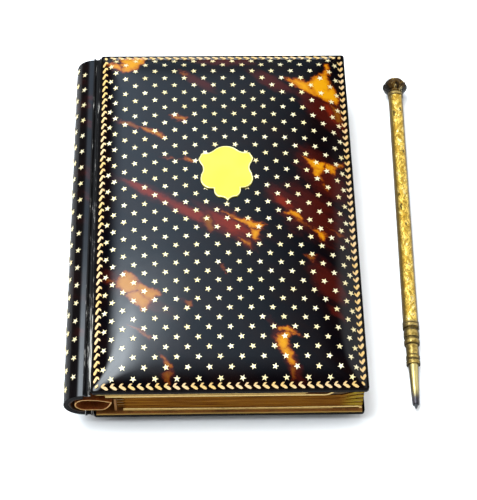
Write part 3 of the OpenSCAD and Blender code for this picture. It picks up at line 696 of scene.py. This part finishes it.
# %% [markdown]
# The linings lie flat on the boards, and the back one runs out to the board's edge, as the
# photograph shows. The two front pocket leaves turn up at the fore-edge, and the back one sags
# a little and turns down, each in a quarter bend. The spine's lining is half a tube. The
# sleeve is a loop whose tip slants up to its seam. A smooth curve through its points would
# bulge past them, so its corners are cut off again and again, which rounds an outline without
# letting it grow.

# %% Lay the linings and pockets
lining_x, front_lining_z, back_lining_z = 32.3, 14.513, 4.213
leather_sheet("front_lining", "front_cover", level(-lining_x, lining_x, front_lining_z), 0.68, lining_half,
              lining_leather, ripple=0.0)
leather_sheet("back_lining", "back_cover", level(-lining_x, lining_x, back_lining_z), 0.68, back_half,
              back_leather, ripple=0.0)
inner_line = level(-32.0, 18.1, 13.263) + bend(18.1, 14.163, 0.90, -90, 0)[1:]
leather_sheet("front_pocket_inner", "front_cover", inner_line, 0.74, pocket_half, pocket_leather, seed=2)
outer_line = level(-29.8, 22.5, 11.963) + bend(22.5, 14.163, 2.20, -90, 0)[1:]
leather_sheet("front_pocket_outer", "front_cover", outer_line, 0.72, pocket_half, pocket_leather, seed=3)
x_sewn, x_turn, sag = -25.75, 31.0, 0.28
back_line = [(x, z - sag * math.sin(math.pi * (x - x_sewn) / (x_turn - x_sewn)))
             for x, z in level(x_sewn, x_turn, 5.463)]
back_line += bend(x_turn, 4.563, 0.90, 90, 0)[1:]
leather_sheet("back_pocket", "back_cover", back_line, 0.72, pocket_half, pocket_leather, seed=4)
print("linings and pockets laid")


# %% Loop the pencil sleeve and line the spine
def cut_corners(points, times):
    for _ in range(times):
        pairs = zip(points, points[1:] + points[:1])
        points = [tuple(a + (b - a) * t for a, b in zip(p, q)) for p, q in pairs for t in (0.25, 0.75)]
    return points


x_sleeve, z_middle, sleeve_radius = -34.55, 9.363, 2.55
back_of_sleeve = bend(x_sleeve, z_middle, sleeve_radius, 90, 270, 14)
tip = [(-31.8, z_middle - sleeve_radius), (-30.6, z_middle - sleeve_radius), (-29.6, 7.7), (-28.9, 9.0),
       (-28.5, 10.2), (-28.4, 10.5), (-28.7, 10.7), (-30.0, 11.2), (-31.6, 11.75), (-33.0, z_middle + sleeve_radius)]
loop = cut_corners(back_of_sleeve + tip, 2)
half_tube = bend(-35.0, z_middle, 3.475, 90, 270, 24)
leather_sheet("pencil_sleeve", "spine", loop, 0.38, spine_half, sleeve_leather, closed=True, ripple=0.02, seed=5)
leather_sheet("spine_lining", "spine", half_tube, 0.52, spine_half, spine_leather, ripple=0.0)
print("sleeve looped with", len(loop), "points")

# %% [markdown]
# ## Board, cloth and paper inside
# The cores of the covers and the memo book's card and strip hardly show while the case is
# shut, but they do when it stands open. So they get plain finishes, one noise or one weave
# each: pasteboard has flecks, the strip is a plain weave and the card a laid paper.


# %% Make the inner finishes
def fibres(name, dark, light, size):
    made, w, shader = start(name)
    spot = place_mm(w)
    fleck = noise(w, stretched(w, spot, (1.0, 3.0, 1.0)), size, 4.0, 0.65)
    feed(shader, w, Base_Color=blend_colour(w, step(w, fleck, 0.3, 0.7), dark, light), Roughness=0.8,
         Normal=relief(w, fleck, 0.05 * mm, 0.5))
    return made


def weave(name, dark, light, pitch):
    made, w, shader = start(name)
    spot = place_mm(w)
    turn = 2 * math.pi / pitch
    warp, weft = (w.sum("SINE", axis * turn) for axis in axes_of(w, spot, "YZ"))
    thread = warp * weft * 0.5 + 0.5
    feed(shader, w, Base_Color=blend_colour(w, thread * 0.7 + noise(w, spot, 1.0) * 0.3, dark, light), Roughness=0.85,
         Normal=relief(w, thread, 0.08 * mm, 0.8))
    return made


dress(fibres("pasteboard", (0.16, 0.11, 0.06), (0.34, 0.26, 0.16), 0.8), "front_core", "back_core")
dress(fibres("memo_card_paper", (0.56, 0.47, 0.30), (0.70, 0.61, 0.42), 0.5), "memo_card")
dress(weave("strip_cloth", (0.16, 0.058, 0.006), (0.28, 0.120, 0.014), 0.5), "memo_strip")
print("pasteboard, card and cloth")

# %% [markdown]
# ## Leaves of the memo book
# Each CAD section is one block. A striped finish on the block would be quick, but the lifted
# corners would show no depth. The real thing is a stack of leaves that share a sewn fold and
# spread a little towards the fore-edge, so each section is rebuilt leaf by leaf inside the
# block: thin sheets along a curve, packed close at the fold and loose at the edge. The faces
# are paper, stained where the gilding soaked in, and the trimmed edges are gilt, so each leaf
# has two materials.

# %% Measures of the leaves
x_fold, x_leaf, x_flare, x_end = -26.95, -25.75, 25.8, 32.2
section_z = {1: 10.7755, 2: 9.4005, 3: 8.0255, 4: 6.6505}
section_thick, guard_thick, half_length = 1.275, 0.40, 50.1
leaves_each, leaf_fill, top_lift = 9, 0.49, 2.3
print("leaves in all:", 4 * leaves_each)


# %% Finish the leaves
def paper_finish():
    made, w, shader = start("old_paper")
    spot = place_mm(w)
    age = noise(w, spot, 14.0, 4.0, 0.6)
    fibre = noise(w, stretched(w, spot, (2.0, 0.6, 1.0)), 0.5, 3.0)
    clean = blend_colour(w, step(w, age + (fibre - 0.5) * 0.3, 0.3, 0.7), (0.72, 0.60, 0.38), (0.84, 0.76, 0.56))
    x, y = axes_of(w, spot, "XY")
    soaked = w.sum("MAXIMUM", step(w, w.sum("ABSOLUTE", y), 49.4, 49.9), step(w, x, 31.6, 32.0))
    band = noise(w, stretched(w, spot, (14.0, 14.0, 0.20)), 1.0, 3.0, 0.6)
    stain = blend_colour(w, step(w, band, 0.42, 0.58), (0.21, 0.085, 0.005), (0.045, 0.009, 0.001))
    feed(shader, w, Base_Color=blend_colour(w, soaked, clean, stain), Specular_IOR_Level=0.1, Roughness=0.82,
         Normal=relief(w, fibre, 0.03 * mm, 0.4))
    return made


def gilt_edge_finish():
    made, w, shader = start("gilt_edges")
    spot = place_mm(w)
    (x,) = axes_of(w, spot, "X")
    rubbed = noise(w, stretched(w, spot, (16.0, 16.0, 0.17)), 1.0, 3.0, 0.6)
    fine = noise(w, stretched(w, spot, (7.0, 7.0, 0.07)), 1.0, 2.0)
    worn = step(w, rubbed + (fine - 0.5) * 0.3, 0.42, 0.60)
    fresh = step(w, x + (rubbed - 0.5) * 6, 26.0, 30.5)
    gilt = blend_colour(w, fresh, (0.27, 0.105, 0.006), (0.40, 0.270, 0.022))
    brown = blend_colour(w, step(w, fine, 0.4, 0.6), (0.040, 0.006, 0.0006), (0.110, 0.030, 0.002))
    colour = blend_colour(w, worn * (1 - fresh * 0.7), gilt, brown)
    feed(shader, w, Base_Color=colour, Metallic=0.15 * (1 - worn), Roughness=0.50 + worn * 0.2,
         Specular_IOR_Level=0.02, Normal=relief(w, rubbed, 0.05 * mm, 0.6))
    return made


old_paper, gilt_edges = paper_finish(), gilt_edge_finish()
print("leaf finishes:", old_paper.name, gilt_edges.name)


# %% Bend one leaf
def leaf_rows(section, k, rng):
    lift = top_lift * (4 - section) / 3
    share = (k + 0.5) / leaves_each - 0.5
    end = x_end - rng.uniform(0.0, 0.12)
    behind_fold, fold_step = 0.18, 0.3
    stations = [x_fold - behind_fold + fold_step * i for i in range(9)]
    stations += [stations[-1] + (end - stations[-1]) * (i + 1) / 40 for i in range(40)]
    rows = []
    for x in stations:
        u = min(max((x - x_flare) / (x_end - x_flare), 0), 1)
        s = min(max((x - x_leaf) / 0.8, 0), 1)
        spread = guard_thick + (section_thick - guard_thick) * s * s * (3 - 2 * s)
        rows.append((x, section_z[section] + lift * u * u * (3 - 2 * u) + share * spread, spread))
    return rows


def add_leaf(form, rows, bow, phase, short, lines=7):
    grid = []
    for x, z, spread in rows:
        thick = leaf_fill * spread / leaves_each
        ring = []
        for side in (1, -1):
            for j in range(lines):
                y = (half_length - short) * (2 * j / (lines - 1) - 1)
                wave = bow * math.sin(phase + 0.09 * y + 0.05 * x) * spread / section_thick
                ring.append(form.verts.new((x * mm, y * mm, (z + wave + side * thick) * mm)))
        grid.append(ring)
    for a, b in zip(grid, grid[1:]):
        for j in range(lines - 1):
            form.faces.new((a[j], b[j], b[j + 1], a[j + 1]))
            form.faces.new((a[lines + j], a[lines + j + 1], b[lines + j + 1], b[lines + j]))
        for j in (0, lines - 1):
            edge = (a[j], a[lines + j], b[lines + j], b[j])
            form.faces.new(edge if j == 0 else edge[::-1]).material_index = 1
    for ring, flip in ((grid[0], False), (grid[-1], True)):
        for j in range(lines - 1):
            edge = (ring[j], ring[j + 1], ring[lines + j + 1], ring[lines + j])
            form.faces.new(edge[::-1] if flip else edge).material_index = 1


print("a leaf reaches from", x_fold, "to", x_end, "mm")


# %% Stack the leaves
def leaf_block(section):
    rng = random.Random(40 + section)
    form = bmesh.new()
    for k in range(leaves_each):
        rows = leaf_rows(section, k, rng)
        bow, phase = rng.uniform(0.004, 0.012), rng.uniform(0, 6.28)
        add_leaf(form, rows, bow, phase, rng.uniform(0.0, 0.08))
    form.normal_update()
    return put(form, "memo_leaves_%d" % section, old_paper, gilt_edges)


for section, body in ((1, "section_1"), (2, "section_2"), (3, "section_3"), (4, "back_cover")):
    block = leaf_block(section)
    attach(block, body)
    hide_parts("memo_section_%d" % section)
    print(block.name, "rides on", body)

# %% [markdown]
# ## Leather joints
# The covers are hung from the spine by two strips of black leather. Their CAD solids are
# stiff troughs, and a stiff copy on either body would tear away when the case opens. So each
# is a strip of its own, curved round the hinge line and left free of both bodies. The
# photograph shows it worn, with pale cracks.


# %% Finish the joint leather
def joint_finish():
    made, w, shader = start("joint_leather")
    spot = place_mm(w)
    crack = noise(w, stretched(w, spot, (0.22, 4.5, 0.22)), 1.0, 4.0, 0.65)
    patch = noise(w, spot, 12.0, 3.0)
    x, y = axes_of(w, spot, "XY")
    handled = (1 - step(w, y, -42.0, -12.0)) * step(w, x, -34.1, -33.5)
    worn = step(w, crack + (patch - 0.5) * 0.4 + handled * 0.16, 0.62, 0.72)
    pebble = noise(w, spot, 0.35, 3.0)
    feed(shader, w, Base_Color=blend_colour(w, worn, (0.004, 0.0035, 0.0035), (0.50, 0.48, 0.44)),
         Roughness=0.50 + worn * 0.25 + pebble * 0.1, Specular_IOR_Level=0.15,
         Normal=relief(w, crack * 0.6 + pebble * 0.4, 0.12 * mm, 0.7))
    return made


joint_leather = joint_finish()
print("joint finish:", joint_leather.name)


# %% Bend the joint strips
def joint_strip(name, z_hinge, up):
    x_hinge, outer, inner, half = -34.0, 0.99, 0.52, 50.95
    arc, length = 26, 40
    form = bmesh.new()
    grid = []
    for j in range(length + 1):
        y = half * (2 * j / length - 1)
        ring = []
        for radius in (outer, inner):
            for i in range(arc + 1):
                a = math.radians(180 + 180 * i / arc) * up
                x, z = x_hinge + radius * math.cos(a), z_hinge + radius * math.sin(a)
                ring.append(form.verts.new((x * mm, y * mm, z * mm)))
        grid.append(ring)
    n = arc + 1
    for a, b in zip(grid, grid[1:]):
        for i in range(arc):
            form.faces.new((a[i], b[i], b[i + 1], a[i + 1]))
            form.faces.new((a[n + i], a[n + i + 1], b[n + i + 1], b[n + i]))
        form.faces.new((a[0], a[n], b[n], b[0]))
        form.faces.new((a[arc], b[arc], b[n + arc], a[n + arc]))
    for ring in (grid[0], grid[-1]):
        for i in range(arc):
            form.faces.new((ring[i], ring[i + 1], ring[n + i + 1], ring[n + i]))
    bmesh.ops.recalc_face_normals(form, faces=form.faces)
    strip = put(form, name, joint_leather)
    strip.data.polygons.foreach_set("use_smooth", [True] * len(strip.data.polygons))
    return strip


front_strip = joint_strip("front_joint_strip", 14.863, 1)
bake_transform(front_strip)
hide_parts("front_joint")
back_strip = joint_strip("back_joint_strip", 3.863, -1)
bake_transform(back_strip)
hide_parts("back_joint")
print("joint strips bent between the bodies")

# %% [markdown]
# ## Rim of the shield
# A fine raised line runs round the shield and catches the light. A bevel would need the plate
# itself to change, so the line is a curve with a round section, laid on the plate. It follows
# the plate's own outline: the edges where its top meets its side wall.


# %% Draw the shield's rim
def top_edge(plate, top):
    form = bmesh.new()
    form.from_mesh(plate.data)
    bmesh.ops.remove_doubles(form, verts=form.verts, dist=1e-7)
    form.normal_update()
    edges = [e for e in form.edges if len(e.link_faces) == 2
             and sorted(abs(f.normal.z) > 0.9 for f in e.link_faces) == [False, True]
             and all(v.co.z > top - 0.05 * mm for v in e.verts)]
    after = {}
    for e in edges:
        a, b = (v.index for v in e.verts)
        after.setdefault(a, []).append(b)
        after.setdefault(b, []).append(a)
    loop, seen = [next(iter(after))], set()
    while True:
        seen.add(loop[-1])
        ahead = [k for k in after[loop[-1]] if k not in seen]
        if not ahead:
            break
        loop.append(ahead[0])
    form.verts.ensure_lookup_table()
    points = [form.verts[k].co.copy() for k in loop]
    form.free()
    return points


rim_radius, rim_inset = 0.13, 0.16
outline = top_edge(cad["front_shield"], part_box("front_shield")[1][2])
wire_line = bpy.data.curves.new("shield_rim", "CURVE")
wire_line.dimensions, wire_line.bevel_depth, wire_line.bevel_resolution = "3D", rim_radius * mm, 2
path = wire_line.splines.new("POLY")
path.points.add(len(outline) - 1)
middle = sum(outline, Vector()) / len(outline)
for point, spot in zip(path.points, outline):
    inward = (middle - spot).normalized() * rim_inset * mm
    point.co = (*(spot + Vector((inward.x, inward.y, 0))), 1)
path.use_cyclic_u = True
rim = bpy.data.objects.new("shield_rim", wire_line)
bpy.context.scene.collection.objects.link(rim)
wire_line.materials.append(gold("rim_gold", (1.0, 0.92, 0.55), (1.0, 0.88, 0.45), 0.28, 0.2, 0.1))
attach(rim, "front_cover")
print("shield rim with", len(outline), "points")

# %% [markdown]
# ## The pencil
# The barrel is gilt and chased all over with scrolls. A drawing of the engraving, unwrapped
# onto the tube, would be the usual way, but a formula needs no picture. A wrapped pattern needs
# the pencil's own coordinates: how far along the axis a point lies, and its angle round it.
# Three dot products and an arctangent give both. The level lines of a stretched noise, as on a
# map, curl like chased scrolls, and a rarer noise cuts a few of them deep and black.

# %% Measure along the pencil
point_at = Vector((46.0, -49.1, 1.7104))
along = Vector((0.0226837, 0.9995831, 0.0178642))
across = along.cross(Vector((0, 0, 1))).normalized()
above = across.cross(along)
barrel_radius = 1.95


def round_the_pencil(wire):
    spot = place_mm(wire)
    off = vector(wire, "SUBTRACT", {0: spot, 1: point_at})
    s, u, v = (vector(wire, "DOT_PRODUCT", {0: off, 1: axis}, "Value") for axis in (along, across, above))
    return s, wire.sum("ARCTAN2", u, v)


print("pencil axis", [round(c, 4) for c in along])


# %% Chase the barrel
# Painted shade: darker towards the two sides of the round, away from its top.
def shaded_flanks(wire, turn):
    return step(wire, wire.sum("ABSOLUTE", turn - 0.08), 0.42, 0.98)


def stroke(wire, s, turn, lean, size):
    c, d = math.cos(math.radians(lean)), math.sin(math.radians(lean))
    around = turn * barrel_radius
    long, short = (s * c + around * d) / 3.0, (around * c - s * d) / 0.85
    spot = wire.node("ShaderNodeCombineXYZ", None, {"X": long, "Y": short, "Z": lean})
    return noise(wire, spot, size, 2.0, 0.5)


def chased_gilt(name, pale, rich, dark, metal=0.4, cuts=0.665, size=1.0):
    made, w, shader = start(name)
    s, turn = round_the_pencil(w)
    wrap = w.node("ShaderNodeCombineXYZ", None, {"X": s * 0.6, "Y": turn * barrel_radius, "Z": 0.0})
    patch = step(w, noise(w, wrap, 2.6 * size, 1.0), 0.46, 0.54)
    one, two = stroke(w, s, turn, 32, size), stroke(w, s, turn, -38, size)
    leaf = one + (two - one) * patch
    line = 1 - step(w, w.sum("ABSOLUTE", w.sum("SINE", leaf * 26.0)), 0.12, 0.75)
    gouge = noise(w, frayed(w, wrap, 1.0, 1.0), 1.7 * size, 2.0)
    cut = step(w, gouge, cuts, cuts + 0.03)
    tone = blend_colour(w, step(w, leaf + (gouge - 0.5) * 0.3, 0.38, 0.62), rich, pale)
    tone = blend_colour(w, step(w, two + one, 1.12, 1.24) * 0.7, tone, (1.0, 0.84, 0.42))
    # Painted shade on the flanks: darker there and less metallic.
    side = shaded_flanks(w, turn)
    colour = blend_colour(w, w.sum("MAXIMUM", cut * 0.97, line * 0.72), tone, dark)
    colour = blend_colour(w, side * 0.97, colour, dark)
    feed(shader, w, Base_Color=colour, Metallic=metal * (1 - cut) * (1 - side), Specular_IOR_Level=0.12,
         Roughness=0.34 + line * 0.2 + (leaf - 0.5) * 0.2, Normal=relief(w, leaf - line * 0.4 - cut, 0.18 * mm, 0.9))
    return made


dress(chased_gilt("chased_gilt", (0.92, 0.63, 0.125), (0.47, 0.265, 0.027), (0.070, 0.042, 0.006)), "pencil_barrel")
dress(chased_gilt("dark_gilt", (0.19, 0.105, 0.022), (0.060, 0.028, 0.006), (0.006, 0.004, 0.002), 0.4, 0.60, 0.6),
      "pencil_finial")
dress(gold("steel", (0.55, 0.56, 0.57), (0.45, 0.46, 0.48), 0.30, metal=1.0), "lead_carrier")
print("pencil chased and gilt")

# %% [markdown]
# The grip and the rings are turned on a lathe, and the CAD has their shape. Dirt stays in the
# grooves and polish on the lands, so the finish follows the distance along the pencil: dark
# bands at the grooves, each given by its place and width in millimetres. The flanks, where the
# round turns away to either side, get a dark olive painted shade.


# %% Finish the turned rings
def turned_gilt(name, grooves, pale, rich):
    made, w, shader = start(name)
    s, turn = round_the_pencil(w)
    rub = noise(w, place_mm(w), 0.8, 3.0)
    # The flanks start with painted shade, and dirt in the grooves is added to it.
    dirt_and_shade = shaded_flanks(w, turn) * 0.95
    for at, width in grooves:
        groove = 1 - step(w, w.sum("ABSOLUTE", s - at), width * 0.35, width * 0.75)
        dirt_and_shade = w.sum("MAXIMUM", dirt_and_shade, groove * (0.55 + 0.45 * step(w, rub, 0.35, 0.55)))
    tone = blend_colour(w, step(w, rub, 0.38, 0.62), rich, pale)
    feed(shader, w, Base_Color=blend_colour(w, dirt_and_shade * 0.94, tone, (0.022, 0.014, 0.004)), Metallic=0.4 * (1 - dirt_and_shade),
         Specular_IOR_Level=0.12, Roughness=0.30 + dirt_and_shade * 0.3 + (rub - 0.5) * 0.15,
         Normal=relief(w, rub - dirt_and_shade * 0.5, 0.05 * mm, 0.6))
    return made


grip_grooves = [(13.15, 0.5), (14.3, 0.4), (17.4, 0.5), (19.1, 0.7), (21.6, 0.8)]
ring_grooves = [(22.1, 0.4), (23.2, 0.35), (95.1, 0.5), (96.2, 0.4)]
dress(turned_gilt("grip_gilt", grip_grooves, (0.42, 0.295, 0.085), (0.20, 0.125, 0.024)), "pencil_grip")
dress(turned_gilt("ring_gilt", ring_grooves, (0.42, 0.30, 0.10), (0.20, 0.130, 0.035)), "barrel_rings")
print("rings and grip turned, with", len(grip_grooves), "dark grooves")

# %% [markdown]
# The nose cone is plain turned metal. Writing has worn the gilt off towards its point, where
# the grey metal shows. The distance along the pencil picks the worn end out, and a noise
# stretched along the cone frays the line between the two. The lead is graphite, dark grey with
# a dull sheen, and so thin that a fine noise is all it needs.


# %% Finish the nose cone
def nose_finish():
    made, w, shader = start("nose_gilt")
    s, turn = round_the_pencil(w)
    rub = noise(w, stretched(w, place_mm(w), (0.2, 4.0, 0.2)), 1.0, 3.0)
    bare = 1 - step(w, s + (rub - 0.5) * 1.2, 2.2, 5.6)
    gilt = blend_colour(w, step(w, rub, 0.35, 0.65), (0.62, 0.51, 0.22), (0.48, 0.36, 0.11))
    # Painted shade on the flanks of the cone as well: darker there and less metallic.
    side = shaded_flanks(w, turn)
    gilt = blend_colour(w, side * 0.97, gilt, (0.035, 0.024, 0.008))
    feed(shader, w, Base_Color=blend_colour(w, bare, gilt, (0.045, 0.040, 0.045)), Metallic=0.55 * (1 - side),
         Specular_IOR_Level=0.15, Roughness=0.26 + (rub - 0.5) * 0.2, Normal=relief(w, rub, 0.03 * mm, 0.5))
    return made


dress(nose_finish(), "nose_cone")
print("nose cone worn to bare metal at its tip")


# %% Finish the lead
def graphite():
    made, w, shader = start("graphite")
    spot = place_mm(w)
    rub = noise(w, spot, 0.25, 3.0)
    feed(shader, w, Base_Color=blend_colour(w, rub, (0.020, 0.021, 0.024), (0.075, 0.078, 0.085)), Metallic=0.35,
         Roughness=0.34 + (rub - 0.5) * 0.2, Normal=relief(w, rub, 0.03 * mm, 0.5))
    return made


dress(graphite(), "pencil_lead")
print("lead finished")
